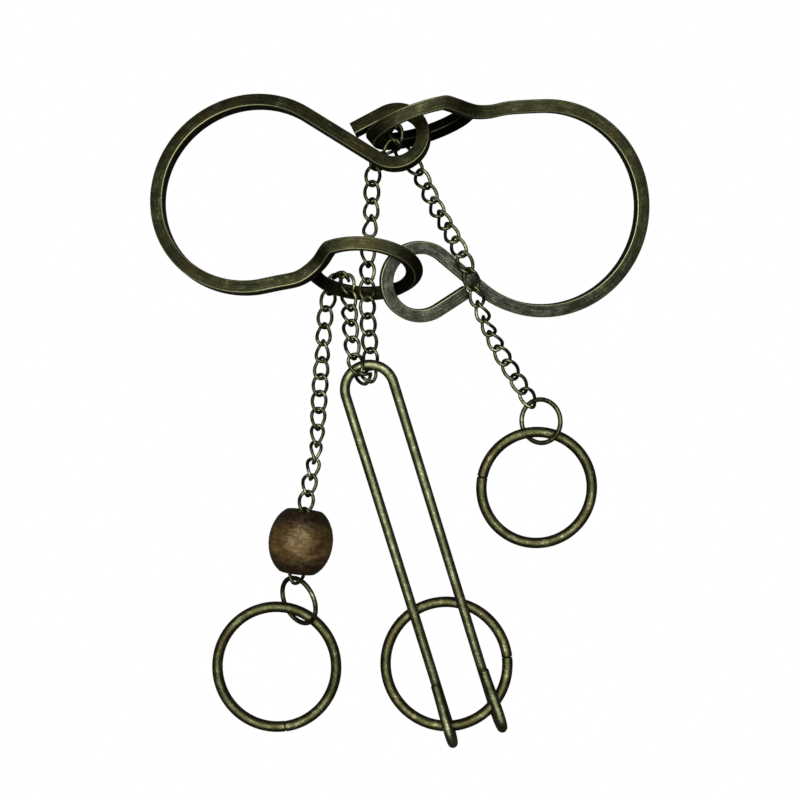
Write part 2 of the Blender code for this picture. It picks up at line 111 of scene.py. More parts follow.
def antiqued_bronze(name, skin, rubbed, streaks, bare, rough):
    """skin is three hex colours from hollow to flat, rubbed the bare metal's, streaks how strongly
    the marks run along the bar, bare how much skin is gone (0 to 1) and rough the skin's
    roughness."""
    made, tree, shader = shader_tree(name)
    place = add(tree, "ShaderNodeTexCoord").outputs["Object"]
    run = add(tree, "ShaderNodeAttribute", attribute_name="run").outputs["Vector"]
    edge = add(tree, "ShaderNodeAttribute", attribute_name="edge").outputs["Fac"]

    # Blotches of thicker and thinner skin, about 3 mm across, and a fine mottle of 0.4 mm.
    blotch = add(
        tree,
        "ShaderNodeTexNoise",
        {"Vector": place},
        {"Scale": 320.0, "Detail": 6.0, "Roughness": 0.72},
    )
    mottle = add(
        tree,
        "ShaderNodeTexNoise",
        {"Vector": place},
        {"Scale": 2400.0, "Detail": 3.0, "Roughness": 0.6},
    )
    # Drawing lines: 0.25 mm apart across the bar and many millimetres long.
    stretched = add(
        tree, "ShaderNodeVectorMath", {0: run}, {1: (110.0, 3900.0, 3900.0)}, operation="MULTIPLY"
    )
    lines = add(
        tree,
        "ShaderNodeTexNoise",
        {"Vector": stretched.outputs[0]},
        {"Scale": 1.0, "Detail": 4.0, "Roughness": 0.7},
    )
    both = add(
        tree,
        "ShaderNodeMix",
        {"A": blotch.outputs["Fac"], "B": mottle.outputs["Fac"]},
        {"Factor": 0.38},
    )
    grain = add(
        tree,
        "ShaderNodeMix",
        {"A": both.outputs["Result"], "B": lines.outputs["Fac"]},
        {"Factor": streaks},
    )
    grain = grain.outputs["Result"]

    coat = add(
        tree,
        "ShaderNodeValToRGB",
        {"Fac": grain},
        stops=[(0.34, skin[0]), (0.5, skin[1]), (0.66, skin[2])],
    ).outputs["Color"]
    # A brown breath here and there, a centimetre across, where the brass shows copper.
    warm = add(tree, "ShaderNodeTexNoise", {"Vector": place}, {"Scale": 110.0, "Detail": 2.0})
    warm = add(
        tree, "ShaderNodeValToRGB", {"Fac": warm.outputs["Fac"]}, stops=[(0.52, 0.0), (0.72, 0.45)]
    ).outputs["Color"]
    tinted = add(
        tree,
        "ShaderNodeMix",
        {"Factor": warm, "A": coat},
        {"B": linear("#46391f")},
        data_type="RGBA",
    )

    # Where hands have rubbed the skin thin, the steel shows through it, grey. Where the rubbed
    # attribute is below 0, the colour is painted near black as painted shade: in the left flat eye,
    # where the crosswise eyes turn under, and under the shuttle's bent-back ends.
    wear_and_painted_shade = add(tree, "ShaderNodeAttribute", attribute_name="rubbed").outputs["Fac"]
    thin = add(tree, "ShaderNodeClamp", {"Value": wear_and_painted_shade})
    steel = add(
        tree,
        "ShaderNodeValToRGB",
        {"Fac": grain},
        stops=[(0.38, "#121410"), (0.5, "#383b34"), (0.62, "#75796c")],
    ).outputs["Color"]
    tinted = add(
        tree,
        "ShaderNodeMix",
        {"Factor": thin.outputs[0], "A": tinted.outputs[2], "B": steel},
        data_type="RGBA",
    )
    painted_shade = add(
        tree, "ShaderNodeMath", {0: wear_and_painted_shade}, {1: -1.0}, operation="MULTIPLY", use_clamp=True
    )

    # Bare metal: all along the corners, and in rubbed specks on the flats.
    speck = add(
        tree,
        "ShaderNodeValToRGB",
        {"Fac": grain},
        stops=[(0.60 - 0.14 * bare, 0.0), (0.74 - 0.10 * bare, 0.75)],
    ).outputs["Color"]
    broken = add(tree, "ShaderNodeMath", {0: grain}, {1: 0.62}, operation="ADD")
    corner = add(
        tree,
        "ShaderNodeMath",
        {0: edge, 1: broken.outputs[0]},
        operation="MULTIPLY",
        use_clamp=True,
    )
    worn = add(
        tree,
        "ShaderNodeMath",
        {0: speck, 1: corner.outputs[0]},
        operation="MAXIMUM",
        use_clamp=True,
    )
    colour = add(
        tree,
        "ShaderNodeMix",
        {"Factor": worn.outputs[0], "A": tinted.outputs[2]},
        {"B": linear(rubbed)},
        data_type="RGBA",
    )
    # Painted shade: the colour goes to near black #0b0b06 where the rubbed attribute is below 0.
    colour = add(
        tree,
        "ShaderNodeMix",
        {"Factor": painted_shade.outputs[0], "A": colour.outputs[2]},
        {"B": linear("#0b0b06")},
        data_type="RGBA",
    )
    tree.links.new(colour.outputs[2], shader.inputs["Base Color"])

    smooth = add(
        tree, "ShaderNodeMapRange", {"Value": worn.outputs[0]}, {"To Min": rough, "To Max": 0.3}
    )
    varied = add(
        tree,
        "ShaderNodeMath",
        {0: mottle.outputs["Fac"], 2: smooth.outputs[0]},
        {1: 0.16},
        operation="MULTIPLY_ADD",
    )
    tree.links.new(varied.outputs[0], shader.inputs["Roughness"])
    shader.inputs["Metallic"].default_value = 1.0

    pits = add(
        tree,
        "ShaderNodeBump",
        {"Height": mottle.outputs["Fac"]},
        {"Strength": 0.35, "Distance": 0.00006},
    )
    marks = add(
        tree,
        "ShaderNodeBump",
        {"Height": lines.outputs["Fac"], "Normal": pits.outputs[0]},
        {"Strength": 0.3 + streaks, "Distance": 0.00005},
    )
    tree.links.new(marks.outputs[0], shader.inputs["Normal"])
    return made


BAR_BRONZE = antiqued_bronze(
    "antiqued_square_bar", ("#12130a", "#2f301e", "#5c5d40"), "#aeac82", 0.4, 0.25, 0.4
)
WIRE_BRONZE = antiqued_bronze(
    "antiqued_drawn_wire", ("#242614", "#6f7150", "#adaf88"), "#e6e6bd", 0.3, 0.45, 0.33
)
RING_BRONZE = antiqued_bronze(
    "antiqued_ring_wire", ("#151509", "#4d4d31", "#8d8c6a"), "#d4d2a8", 0.3, 0.35, 0.35
)
LINK_BRONZE = antiqued_bronze(
    "antiqued_chain_wire", ("#12130a", "#54553a", "#a2a27c"), "#dddab4", 0.1, 0.5, 0.3
)
print("bronze finishes:", BAR_BRONZE.name, WIRE_BRONZE.name, RING_BRONZE.name, LINK_BRONZE.name)

# %% [markdown]
# ## A bar that follows a line
#
# A frame is one length of square bar, bent cold. The way to model that is the way it is made: draw
# the middle line of the bar, then carry a section along it. A Geometry Nodes tree does the
# carrying, so the same tree serves both frames. The line comes in as plain points and edges. A
# vector called up on every point says which way the bar's top faces, because on a line that climbs
# and turns Blender can't guess that.

# %% Geometry Nodes: carry a section along a line
def carrying_tree(name, square):
    """Carries a square with rounded corners, or a circle, along the lines that come in."""
    tree = bpy.data.node_groups.new(name, "GeometryNodeTree")
    tree.is_modifier = True
    sockets = tree.interface
    sockets.new_socket("Line", in_out="INPUT", socket_type="NodeSocketGeometry")
    sockets.new_socket("Thickness", in_out="INPUT", socket_type="NodeSocketFloat")
    sockets.new_socket(
        "Corner Radius" if square else "Sides",
        in_out="INPUT",
        socket_type="NodeSocketFloat" if square else "NodeSocketInt",
    )
    sockets.new_socket("Finish", in_out="INPUT", socket_type="NodeSocketMaterial")
    sockets.new_socket("Bar", in_out="OUTPUT", socket_type="NodeSocketGeometry")
    given = add(tree, "NodeGroupInput")

    line = add(tree, "GeometryNodeMeshToCurve", {"Mesh": given.outputs["Line"]})
    up = add(tree, "GeometryNodeInputNamedAttribute", (), {"Name": "up"}, data_type="FLOAT_VECTOR")
    line = add(
        tree,
        "GeometryNodeSetCurveNormal",
        {"Curve": line.outputs[0], "Normal": up.outputs[0]},
        mode="FREE",
    )
    along = add(tree, "GeometryNodeCaptureAttribute", {0: line.outputs[0]})
    along.capture_items.new("FLOAT", "Length")
    tree.links.new(
        add(tree, "GeometryNodeSplineParameter").outputs["Length"], along.inputs["Length"]
    )

    if square:
        side = given.outputs["Thickness"]
        outline = add(
            tree, "GeometryNodeCurvePrimitiveQuadrilateral", {"Width": side, "Height": side}
        )
        outline = add(
            tree,
            "GeometryNodeFilletCurve",
            {0: outline.outputs[0], "Radius": given.outputs["Corner Radius"]},
            {"Count": 5},
            mode="POLY",
        )
    else:
        half = add(
            tree, "ShaderNodeMath", {0: given.outputs["Thickness"]}, {1: 0.5}, operation="MULTIPLY"
        )
        outline = add(
            tree,
            "GeometryNodeCurvePrimitiveCircle",
            {"Resolution": given.outputs["Sides"], "Radius": half.outputs[0]},
        )
    across = add(tree, "GeometryNodeCaptureAttribute", {0: outline.outputs[0]})
    across.capture_items.new("VECTOR", "Place")
    tree.links.new(add(tree, "GeometryNodeInputPosition").outputs[0], across.inputs["Place"])
    skin = add(
        tree,
        "GeometryNodeCurveToMesh",
        {"Curve": along.outputs[0], "Profile Curve": across.outputs[0]},
        {"Fill Caps": True},
    )

    split = add(tree, "ShaderNodeSeparateXYZ", {0: across.outputs["Place"]})
    run = add(
        tree,
        "ShaderNodeCombineXYZ",
        {"X": along.outputs["Length"], "Y": split.outputs["X"], "Z": split.outputs["Y"]},
    )
    last = add(
        tree,
        "GeometryNodeStoreNamedAttribute",
        {"Geometry": skin.outputs[0], "Value": run.outputs[0]},
        {"Name": "run"},
        data_type="FLOAT_VECTOR",
        domain="POINT",
    )
    if square:
        # How far into the corner a point lies: 0 where the flat ends, 1 in the middle of the
        # corner.
        wide = add(tree, "ShaderNodeMath", {0: split.outputs["X"]}, operation="ABSOLUTE")
        high = add(tree, "ShaderNodeMath", {0: split.outputs["Y"]}, operation="ABSOLUTE")
        least = add(
            tree, "ShaderNodeMath", {0: wide.outputs[0], 1: high.outputs[0]}, operation="MINIMUM"
        )
        flat_end = add(
            tree,
            "ShaderNodeMath",
            {0: given.outputs["Thickness"], 2: given.outputs["Corner Radius"]},
            {1: 0.5},
            operation="MULTIPLY",
        )
        flat_end = add(
            tree,
            "ShaderNodeMath",
            {0: flat_end.outputs[0], 1: given.outputs["Corner Radius"]},
            operation="SUBTRACT",
        )
        past = add(
            tree,
            "ShaderNodeMath",
            {0: least.outputs[0], 1: flat_end.outputs[0]},
            operation="SUBTRACT",
        )
        share = add(
            tree,
            "ShaderNodeMath",
            {0: past.outputs[0], 1: given.outputs["Corner Radius"]},
            operation="DIVIDE",
        )
        edge = add(
            tree,
            "ShaderNodeMath",
            {0: share.outputs[0]},
            {1: 1.6},
            operation="MULTIPLY",
            use_clamp=True,
        )
        last = add(
            tree,
            "GeometryNodeStoreNamedAttribute",
            {"Geometry": last.outputs[0], "Value": edge.outputs[0]},
            {"Name": "edge"},
            data_type="FLOAT",
            domain="POINT",
        )
    whole = add(tree, "GeometryNodeRealizeInstances", {0: last.outputs[0]})
    smooth = add(tree, "GeometryNodeSetShadeSmooth", {0: whole.outputs[0]})
    done = add(
        tree,
        "GeometryNodeSetMaterial",
        {"Geometry": smooth.outputs[0], "Material": given.outputs["Finish"]},
    )
    add(tree, "NodeGroupOutput", {"Bar": done.outputs[0]})
    return tree


SQUARE_BAR = carrying_tree("square_bar_along_a_line", True)
ROUND_WIRE = carrying_tree("round_wire_along_a_line", False)

# %% [markdown]
# The tree's result is turned into a plain mesh. A saw leaves a sharp rim round each cut end, and
# the tumbling rounds it, so the rim gets a narrow bevel. Then the piece is tied to its body in the
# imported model, and the plain solid it stands for is hidden.

# %% From a line to a finished piece
def line_mesh(name, lines, closed, rubbed=None):
    """Points joined in rows. Each row is a list of (point, up), in millimetres from the table's
    middle. rubbed says how the skin is at each point, from -1 (painted black, as painted shade) to
    1 (rubbed thin, as wear)."""
    points, ups, edges = [], [], []
    for row in lines:
        first = len(points)
        points += [(p - FOOT) * MM for p, _ in row]
        ups += [u for _, u in row]
        edges += [(first + i, first + i + 1) for i in range(len(row) - 1)]
        if closed:
            edges.append((first + len(row) - 1, first))
    mesh = bpy.data.meshes.new(name)
    mesh.from_pydata([tuple(p) for p in points], edges, [])
    store = mesh.attributes.new("up", "FLOAT_VECTOR", "POINT")
    store.data.foreach_set("vector", np.array([tuple(u) for u in ups], np.float32).ravel())
    if rubbed:
        mesh.attributes.new("rubbed", "FLOAT", "POINT").data.foreach_set("value", rubbed)
    return mesh


RIM_ANGLE = 60.0  # a cut end meets the side more sharply than this
SMOOTH_ANGLE = 50.0


def round_rims(mesh, width):
    """A narrow bevel round each cut end."""
    work = bmesh.new()
    work.from_mesh(mesh)
    rims = [
        e
        for e in work.edges if len(e.link_faces) == 2 and e.calc_face_angle() > RIM_ANGLE * DEG
    ]
    if rims:
        bmesh.ops.bevel(
            work,
            geom=rims,
            offset=width * MM,
            segments=3,
            profile=0.5,
            affect="EDGES",
            clamp_overlap=True,
        )
    bmesh.ops.recalc_face_normals(work, faces=work.faces)
    if work.calc_volume(signed=True) < 0:
        bmesh.ops.reverse_faces(work, faces=work.faces)
    for one in work.faces:
        one.smooth = True
    work.to_mesh(mesh)
    work.free()
    mesh.set_sharp_from_angle(angle=SMOOTH_ANGLE * DEG)


def carried_piece(node, suffix, tree, lines, closed, sizes, finish, rim=0.0, rubbed=None):
    """Runs one of the trees on the lines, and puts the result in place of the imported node."""
    guide = bpy.data.objects.new(f"{node}_{suffix}", line_mesh(node, lines, closed, rubbed))
    bpy.context.scene.collection.objects.link(guide)
    live = guide.modifiers.new("carry", "NODES")
    live.node_group = tree
    wanted = dict(sizes, Finish=finish)
    for item in tree.interface.items_tree:
        if item.name in wanted:
            live[item.identifier] = wanted[item.name]
    graph = bpy.context.evaluated_depsgraph_get()
    whole = bpy.data.meshes.new_from_object(guide.evaluated_get(graph), depsgraph=graph)
    guide.modifiers.remove(live)
    guide.data = whole
    whole.name = guide.name
    if rim:
        round_rims(whole, rim)
    settle(guide, node)
    return guide


def settle(piece, node):
    """Ties a finished piece to its body, and hides the plain solid that it stands for."""
    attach(piece, node)
    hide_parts(node)


# %% [markdown]
# ## The two frames
#
# Each frame is the same bend: a big open loop, a small flat eye closed back onto the bar at one
# end, and at the other end an eye turned crosswise, so that it stands up from the table. The flat
# eye and the loop lie in one sloping plane. Their outline is two arcs joined by the straight line
# that touches both, which is what a bending jig gives.
#
# For each frame below: loop and eye are the centres of the two arcs, slope and lift say how their
# plane lies, closing is the eye's turn in degrees, cross, long, axis and rise describe the
# crosswise eye's oval, from is where the neck joins it, and the last number says how the flat
# eye's end is coloured: above 0 rubbed thin, as wear, and below 0 painted dark, as painted shade.

# %% The frames' middle lines
def arc(centre, radius, start, end, steps):
    """Points on a flat arc, from one angle to another in degrees."""
    turns = [(start + (end - start) * i / steps) * DEG for i in range(steps + 1)]
    return [centre + radius * Vector((math.cos(a), math.sin(a))) for a in turns]


def smooth_line(points, steps):
    """A smooth line through the points, as many short pieces."""
    ends = [points[0] * 2 - points[1]] + points + [points[-1] * 2 - points[-2]]
    line = [points[0]]
    for i in range(1, len(ends) - 2):
        p0, p1, p2, p3 = ends[i - 1 : i + 3]
        for k in range(1, steps + 1):
            t = k / steps
            a = 2 * p1 + (p2 - p0) * t + (2 * p0 - 5 * p1 + 4 * p2 - p3) * t * t
            line.append((a + (3 * p1 - p0 - 3 * p2 + p3) * t**3) / 2)
    return line


def on_plane(point, origin, slope, lift):
    """A point of the flat pattern laid on the sloping plane."""
    away = point - origin
    steep = Vector(slope).normalized()
    away -= steep * away.dot(steep) * (1 - 1 / math.hypot(1.0, *slope))
    return V(origin.x + away.x, origin.y + away.y, lift + away.dot(Vector(slope)))


def carried_ups(line, start, up):
    """The way up at each point, carried along the line without twist from the point at index
    start."""
    n = len(line)
    along = [(line[min(i + 1, n - 1)] - line[max(i - 1, 0)]).normalized() for i in range(n)]
    ups = [None] * n
    ups[start] = (up - along[start] * up.dot(along[start])).normalized()
    for step in (1, -1):
        i = start + step
        while 0 <= i < n:
            ups[i] = along[i - step].rotation_difference(along[i]) @ ups[i - step]
            i += step
    return ups


FRAMES = {
    "left_frame": {
        "loop": V(
            -42.7, 59.1
        ), "loop_r": 27.9, "eye": V(-1.14, 74.3), "eye_r": 7.95, "closing": 243.0,
        "slope": (0.17, -0.18), "lift": 13.6, "cross": V(
            -10.5, 37.05, 13.95
        ), "long": 14.6, "axis": -2.5,
        # Below 0: the left flat eye's end is painted dark, as painted shade.
        "rise": V(0.0, 6.2, 7.75), "from": 128.0, "held": -0.45,
        "neck": [
            V(-34.5, 32.9, 15.4), V(-29.0, 34.0, 16.0), V(-25.5, 35.9, 16.6), V(-22.4, 38.7, 17.5)
        ],
    },
    "right_frame": {
        "loop": V(41.5, 54.6), "loop_r": 29.0, "eye": V(5.7, 33.7), "eye_r": 9.7, "closing": 254.0,
        "slope": (-0.157, 0.156), "lift": 11.25, "cross": V(
            6.4, 78.5, 14.7
        ), "long": -14.2, "axis": 17.0,
        "rise": V(0.0, 1.95, 8.5), "from": 115.0, "held": 0.7,
        "neck": [
            V(31.1, 82.4, 14.8),
            V(25.4, 81.1, 15.7),
            V(21.1, 80.7, 17.1),
            V(18.1, 81.0, 18.9),
            V(15.3, 81.5, 20.9),
        ],
    },
}
BAR_SIDE = 3.8
CLOSING_LENGTH = 9.6
LOOP_SWEEP = 220.0
CROSS_END = 164.0  # where the crosswise eye's cut end stops, in degrees past the oval's tip
BAR_RIM = 0.25
WIRE_RIM = 0.3
BAR_CORNER = 0.36
FINER = 3  # steps of the finished bar for each step of the plain solid
EYE_STEPS = 18 * FINER
LOOP_STEPS = 30 * FINER
CROSS_STEPS = 24 * FINER
NECK_STEPS = 3 * FINER
UP_STEPS = 15 * FINER  # how far into the loop the bar's up is set, to be carried both ways
TRIM = 0.97  # keeps a rounder surface inside the box of the plain solid


def frame_line(lie):
    """(point, up) along the bar, from the flat eye's cut end to the crosswise eye's."""
    steep, loop, eye = Vector(lie["slope"]).normalized(), lie["loop"], lie["eye"]
    loop = loop + steep * (loop - eye).dot(steep) * (math.hypot(1.0, *lie["slope"]) - 1)
    reach = eye - loop
    leave = math.atan2(reach.y, reach.x) / DEG + math.acos(
        (lie["loop_r"] + lie["eye_r"]) / reach.length
    ) / DEG
    small = arc(eye, lie["eye_r"], leave + 180 + lie["closing"], leave + 180, EYE_STEPS)
    cut = small[0] + (small[0] - small[1]).normalized() * CLOSING_LENGTH
    small = [cut.lerp(small[0], i / 4) for i in range(4)] + small
    big = arc(loop, lie["loop_r"], leave, leave + LOOP_SWEEP, LOOP_STEPS)
    between = [small[-1].lerp(big[0], t / 8) for t in range(1, 8)]
    plane = [on_plane(p, eye, lie["slope"], lie["lift"]) for p in small + between + big]

    long_way = V(math.cos(lie["axis"] * DEG), math.sin(lie["axis"] * DEG), 0.0) * lie["long"]
    turned = []
    for i in range(CROSS_STEPS + 1):
        a = (lie["from"] - (lie["from"] + CROSS_END) * i / CROSS_STEPS) * DEG
        turned.append(lie["cross"] + long_way * math.cos(a) + lie["rise"] * math.sin(a))
    step = NECK_STEPS
    climb = smooth_line(
        [plane[-1 - FINER], plane[-1]] + lie["neck"] + [turned[0], turned[FINER]], step
    )
    line = plane + climb[step + 1 : -step - 1] + turned
    up = V(-lie["slope"][0], -lie["slope"][1], 1.0)
    return list(zip(line, carried_ups(line, len(small) + len(between) + UP_STEPS, up)))


def wear_and_painted_shade_along(row, lie):
    """From -1, painted black as painted shade, to 1, rubbed thin as wear. The flat eye's end value
    fades into the bar: wear where it is above 0, painted shade where it is below 0. The crosswise
    eye is painted black where its bend turns under, as painted shade."""
    count, found = len(row), []
    under = count - 14 * FINER
    for i in range(count):
        held = lie["held"] * min(1.0, max(0.0, (0.42 * count - i) / (0.16 * count)))
        # Painted shade: black from where the crosswise eye's bend turns under to its cut end.
        painted_shade_under = min(1.0, max(0.0, (i - under) / (3 * FINER)))
        found.append(held - 0.85 * painted_shade_under)
    return found


for name, lie in FRAMES.items():
    row = frame_line(lie)
    sizes = {"Thickness": BAR_SIDE * TRIM * MM, "Corner Radius": BAR_CORNER * MM}
    rubbed = wear_and_painted_shade_along(row, lie)
    piece = carried_piece(name, "bar", SQUARE_BAR, [row], False, sizes, BAR_BRONZE, BAR_RIM, rubbed)
    length = sum((a[0] - b[0]).length for a, b in zip(row, row[1:]))
    print(name, "bar length", round(length), "mm,", len(piece.data.polygons), "faces")

# %% [markdown]
# ## The curb chain
#
# A curb link starts as an oval of wire. Turning one end against the other by about a quarter turn
# lets the links nest and lie flat. Each link here is its own body, so each is its own piece. Only
# the oval's middle line differs from place to place, and the round-wire tree does the rest.

# %% One link
LINK_WIRE = 1.0
LINK_FULL = 1.05  # the finished wire, a little fuller than the plain solid's
LINK_WIDE = 5.0
LINK_PITCH = 4.965
LINK_PLAY = 0.2  # room between two linked wires
LOCKED = -0.16  # inside a bight they bite into each other instead
LINK_TWIST = -45.0  # at the link's front end, and the other way at its back end
LINK_STATIONS = 40
LINK_SIDES = 12


def link_line(back=LINK_PLAY, front=LINK_PLAY):
    """(point, up) round one link about its own middle: chain along X, face towards Z."""
    wide, row = (LINK_WIDE - LINK_WIRE) / 2, []
    for i in range(LINK_STATIONS):
        a = 2 * math.pi * (i + 0.5) / LINK_STATIONS
        c, s = math.cos(a), math.sin(a)
        half = (LINK_PITCH + LINK_WIRE + (front if c > 0 else back)) / 2
        x = math.copysign(abs(c) ** 0.85, c) * half
        y = math.copysign(abs(s) ** 0.8, s) * wide
        twist = LINK_TWIST * DEG * x / half
        row.append(
            (
                V(x, y * math.cos(twist), y * math.sin(twist)),
                V(0.0, -math.sin(twist), math.cos(twist)),
            ),
        )
    return row


def place_at(start, end, normal):
    """A frame with X from start to end and Z near normal, standing on start."""
    x = (end - start).normalized()
    z = (normal - x * normal.dot(x)).normalized()
    place = Matrix((x, z.cross(x), z)).transposed().to_4x4()
    place.translation = start
    return place


def moved(row, place):
    """The row laid down at a place."""
    turn = place.to_3x3()
    return [(place @ p, (turn @ u).normalized()) for p, u in row]


def link_piece(name, rows):
    """One piece of chain wire, from the middle line of each of its links."""
    sizes = {"Thickness": LINK_FULL * MM, "Sides": LINK_SIDES}
    return carried_piece(name, "wire", ROUND_WIRE, rows, True, sizes, LINK_BRONZE)


# %% [markdown]
# A strand is laid by walking one pitch at a time along a smooth line. Links also roll about that
# line, which is why some show their open oval and others nearly their edge.

# %% Strands and bights
HALVINGS = 30  # each one halves the stretch that a pivot lies in


def pivots(points, count):
    """Pivot points one pitch apart along a smooth line, the first on its start."""
    line = smooth_line(points, 40)
    found, i = [line[0]], 0
    while len(found) <= count and i < len(line) - 1:
        if (line[i + 1] - found[-1]).length >= LINK_PITCH:
            a, b, lo, hi = line[i], line[i + 1], 0.0, 1.0
            for _ in range(HALVINGS):
                mid = (lo + hi) / 2
                if (a.lerp(b, mid) - found[-1]).length < LINK_PITCH:
                    lo = mid
                else:
                    hi = mid
            found.append(a.lerp(b, hi))
            continue
        i += 1
    while len(found) <= count:
        found.append(found[-1] + (found[-1] - found[-2]).normalized() * LINK_PITCH)
    return found


def strand(prefix, points, count, normal, rolls):
    """Single links along a line. rolls turn each link's face about the line, in degrees."""
    at = pivots(points, count)
    for i in range(count):
        place = place_at(at[i], at[i + 1], normal)
        normal = place.to_3x3() @ UP
        out = place @ Matrix.Rotation(
            rolls.get(i + 1, 0.0) * DEG, 4, "X"
        ) @ Matrix.Translation((LINK_PITCH / 2, 0, 0))
        link_piece(f"{prefix}_{i + 1:02d}", [moved(link_line(), out)])
    return at, normal


def bight(name, at, normals):
    """Links that stay put together: where the chain hugs a bar, or lies in the bead's bore."""
    rows, last = [], len(at) - 2
    for i in range(last + 1):
        pitch = (at[i + 1] - at[i]).length
        out = place_at(at[i], at[i + 1], normals[i]) @ Matrix.Translation((pitch / 2, 0, 0))
        oval = link_line(LINK_PLAY if i == 0 else LOCKED, LINK_PLAY if i == last else LOCKED)
        oval = [(V(p.x * pitch / LINK_PITCH, p.y, p.z), u) for p, u in oval]
        rows.append(moved(oval, out))
    link_piece(name, rows)


def beside(bar, along, offsets):
    """Points about a bar, each given by its distance along it, up the table and off the table."""
    t = along.normalized()
    v = (V(0, 1, 0) - t * t.y).normalized()
    w = t.cross(v)
    return [bar + t * a + v * b + w * c for a, b, c in offsets]


def facing(bar, along, at):
    """The way each link between two of the points faces: straight away from the bar."""
    t, found = along.normalized(), []
    for a, b in zip(at, at[1:]):
        away = (a + b) / 2 - bar
        found.append((away - t * away.dot(t)).normalized())
    return found


def crossing(lie, x):
    """Where the lower strand of a crosswise eye passes x, and its heading there."""
    centre, rise, slant = lie["cross"], lie["rise"], math.tan(lie["axis"] * DEG)
    reach = abs(lie["long"]) * math.cos(lie["axis"] * DEG)
    t = (x - centre.x) / reach
    drop = math.sqrt(1 - t * t)
    turn = t / (drop * reach)
    at = V(x, centre.y + (x - centre.x) * slant - rise.y * drop, centre.z - rise.z * drop)
    return at, V(1.0, slant + rise.y * turn, rise.z * turn)


# %% [markdown]
# The chain is one piece of the puzzle from end to end. It is laid here in the order a hand would
# thread it: round the left frame's lower strand, down to the bead, then from the same bight down to
# the shuttle, up again between the frames, round the right frame's lower strand, and down to the
# right-hand ring. On the real chain every link is hooked to the next. Here two links of the middle
# strand stay unhooked, because the joints form a tree with no closed loop.
# The shuttle's and the bead's places come first, because the chain runs to both.

# %% The shuttle's lie, which the chain's last bight needs
SHUTTLE_WIRE = 3.0
SHUTTLE_BEND = V(-8.6, 3.0, 12.5)
SHUTTLE_BEND_R = 7.05
SHUTTLE_LEAN = 17.15
SHUTTLE_DROP = 6.1
SHUTTLE_LEG = 104.6
SHUTTLE_EYE_R = 4.2
SHUTTLE_EYE_BACK = 17.4
SHUTTLE_EYE_ROLL = (-2.0, 6.0)
lean, drop = SHUTTLE_LEAN * DEG, SHUTTLE_DROP * DEG
DOWN = V(math.sin(lean) * math.cos(drop), -math.cos(lean) * math.cos(drop), -math.sin(drop))
ACROSS = V(math.cos(lean), math.sin(lean), 0.0)
OVER = DOWN.cross(ACROSS)

BEAD_D = 18.6
BEAD_LONG = 17.8
BEAD_FLAT = 10.4
BEAD_BORE = 5.9
BEAD_AT = V(-28.4, -40.5, 9.35)
BEAD_AXIS = V(0.126, 0.992, 0.0).normalized()

# %% [markdown]
# The left strand starts on the left frame's bar, so its first links wrap round a square section.
# The last four run through the bead's bore, and the very last sticks out below it.

# %% Left strand: from the left frame down to the bead, and on through its bore
bar, along = crossing(FRAMES["left_frame"], -17.7)
low = beside(
    bar, along, [(2.2, -1.0, 4.4), (0.7, 3.75, 2.5), (-0.8, 3.75, -2.5), (-1.3, -1.0, -4.35)]
)
low_faces = facing(bar, along, low)
bight("bight_low", low, low_faces)
enter = BEAD_AT + BEAD_AXIS * (BEAD_LONG / 2 - 0.3)
leave = BEAD_AT - BEAD_AXIS * (BEAD_LONG / 2 + 2.7) - UP * 0.6
run = [
    low[-1],
    V(-21.7, 26.3, 2.45),
    V(-22.6, 14.0, 2.6),
    V(-23.5, 2.0, 2.4),
    V(-24.4, -14.0, 4.0),
    V(-26.2, -24.5, 7.8),
    enter,
]
rolls = {
    2: 15.0, 3: 33.0, 4: 48.0, 5: 30.0, 6: 10.0, 8: -15.0, 9: -32.0, 10: -48.0, 11: -32.0, 12: -15.0
}
at, _ = strand("chain_l", run, 13, -low_faces[-1], rolls)
bight(
    "bead_chain_core",
    [at[-1].lerp(leave, i / 4) for i in range(5)],
    [V(-math.sin(a * DEG), 0.0, math.cos(a * DEG)) for a in (0, 0, -2, -4)],
)

# %% [markdown]
# The inner strand leaves the same bight, passes over the shuttle's bend, through the U and back up
# behind the wire. That hooks the shuttle to the chain.

# %% Inner strand: from the left frame down to the shuttle's bend
bar = SHUTTLE_BEND - DOWN * SHUTTLE_BEND_R
wrap = [(-1.6, 3.2, 4.2), (-1.3, -1.5, 4.1), (0.3, -4.35, 0.0), (2.0, -1.5, -3.8), (3.4, 3.2, -4.3)]
bend = [bar + ACROSS * a - DOWN * b + OVER * c for a, b, c in wrap]
at, face = strand(
    "chain_i", [low[0], low[0].lerp(bend[0], 0.5) + V(-0.2, 0.0, 1.6), bend[0]], 4, low_faces[0], {}
)
bend[0] = at[-1]
around = facing(bar, ACROSS, bend)
bight("bight_shuttle", bend, [face] + around[1:])

# %% [markdown]
# The middle strand joins the shuttle to the right frame. It is laid from both ends, and its two
# ends meet without being hooked.

# %% Middle strand: up from the shuttle, and down from the right frame
bar, along = crossing(FRAMES["right_frame"], -0.9)
wrap = beside(
    bar, along, [(-2.1, -1.0, 4.5), (-1.0, 3.85, 2.55), (0.4, 3.85, -2.55), (1.8, -1.0, -4.4)]
)
top = [V(-8.1, 62.4, 7.0), V(-7.5, 66.9, 7.7), V(-4.4, 70.1, 9.2)] + wrap + [V(2.8, 70.2, 3.0)]
top_faces = facing(bar, along, top[2:7])
top_faces[0] = V(0.35, -0.8, 0.5)
bight("bight_top", top, [UP, UP] + top_faces + [UP])
strand("chain_m", [top[0], V(-8.3, 54.0, 6.8), V(-9.0, 45.0, 8.4)], 3, UP, {2: 18.0, 3: 36.0})
run = [bend[-1], V(-9.2, 23.0, 9.6), V(-9.4, 33.0, 11.0), V(-9.2, 40.0, 9.8), V(-9.1, 46.0, 8.4)]
strand("chain_n", run, 6, -around[-1], {5: 15.0, 6: 30.0})

# %% [markdown]
# The right strand climbs over the right frame's lower bar, so its line rises to nearly 15 mm and
# comes down again to the table.

